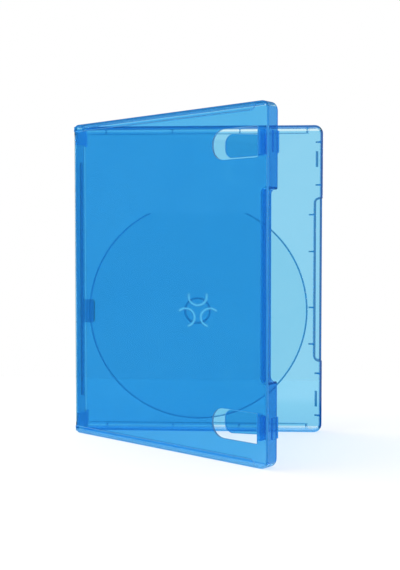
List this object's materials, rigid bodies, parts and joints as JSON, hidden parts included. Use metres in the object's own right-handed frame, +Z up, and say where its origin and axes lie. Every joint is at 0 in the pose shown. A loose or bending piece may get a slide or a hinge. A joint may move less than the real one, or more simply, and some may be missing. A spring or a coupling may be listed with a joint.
{
  "type": "game disc case",
  "caption": "Upright hinged keep case in clear blue plastic: a tray with a sprung disc hub, a folding spine and a cover with booklet clips and latch lugs.",
  "frame": {"origin": "middle of the footprint of the open case, on the surface that it stands on", "axes": "+Z up along the case's height, +X along the back tray from the spine to its free edge, +Y out of the back tray's outer face"},
  "size_m": [0.138, 0.0954, 0.1715],
  "materials": {
    "clear_blue_plastic": "clear blue moulded polypropylene, glossy"
  },
  "bodies": {
    "tray": {"back_tray": "clear_blue_plastic"},
    "spine": {"spine": "clear_blue_plastic", "rear_hinge_film": "clear_blue_plastic", "front_hinge_film": "clear_blue_plastic"},
    "cover": {"front_cover": "clear_blue_plastic"},
    "upper_clip": {"upper_booklet_clip": "clear_blue_plastic"},
    "lower_clip": {"lower_booklet_clip": "clear_blue_plastic"},
    "top_finger": {"top_hub_finger": "clear_blue_plastic"},
    "left_finger": {"left_hub_finger": "clear_blue_plastic"},
    "right_finger": {"right_hub_finger": "clear_blue_plastic"}
  },
  "joints": [
    {"name": "spine_fold", "type": "hinge", "parent": "tray", "child": "spine", "pos_m": [-0.06537, 0.04703, 0.08575], "axis": [0, 0, -1], "range_deg": [-15.5, 74.5], "deforming": ["rear_hinge_film"]},
    {"name": "cover_fold", "type": "hinge", "parent": "spine", "child": "cover", "pos_m": [-0.06876, 0.03479, 0.08575], "axis": [0, 0, -1], "range_deg": [-22.5, 67.5], "deforming": ["front_hinge_film"]},
    {"name": "upper_clip_lift", "type": "hinge", "parent": "cover", "child": "upper_clip", "pos_m": [0.03551, -0.04001, 0.15275], "axis": [0, 0, -1], "range_deg": [0, 8], "stiffness_Nm_per_rad": 0.1},
    {"name": "lower_clip_lift", "type": "hinge", "parent": "cover", "child": "lower_clip", "pos_m": [0.03551, -0.04001, 0.01875], "axis": [0, 0, -1], "range_deg": [0, 8], "stiffness_Nm_per_rad": 0.1},
    {"name": "top_finger_press", "type": "hinge", "parent": "tray", "child": "top_finger", "pos_m": [-0.00052, 0.04728, 0.07717], "axis": [1, 0, 0], "range_deg": [0, 6], "stiffness_Nm_per_rad": 0.1},
    {"name": "left_finger_press", "type": "hinge", "parent": "tray", "child": "left_finger", "pos_m": [-0.00837, 0.04728, 0.06356], "axis": [-0.5, 0, 0.866], "range_deg": [0, 6], "stiffness_Nm_per_rad": 0.1},
    {"name": "right_finger_press", "type": "hinge", "parent": "tray", "child": "right_finger", "pos_m": [0.00734, 0.04728, 0.06356], "axis": [-0.5, 0, -0.866], "range_deg": [0, 6], "stiffness_Nm_per_rad": 0.1}
  ]
}
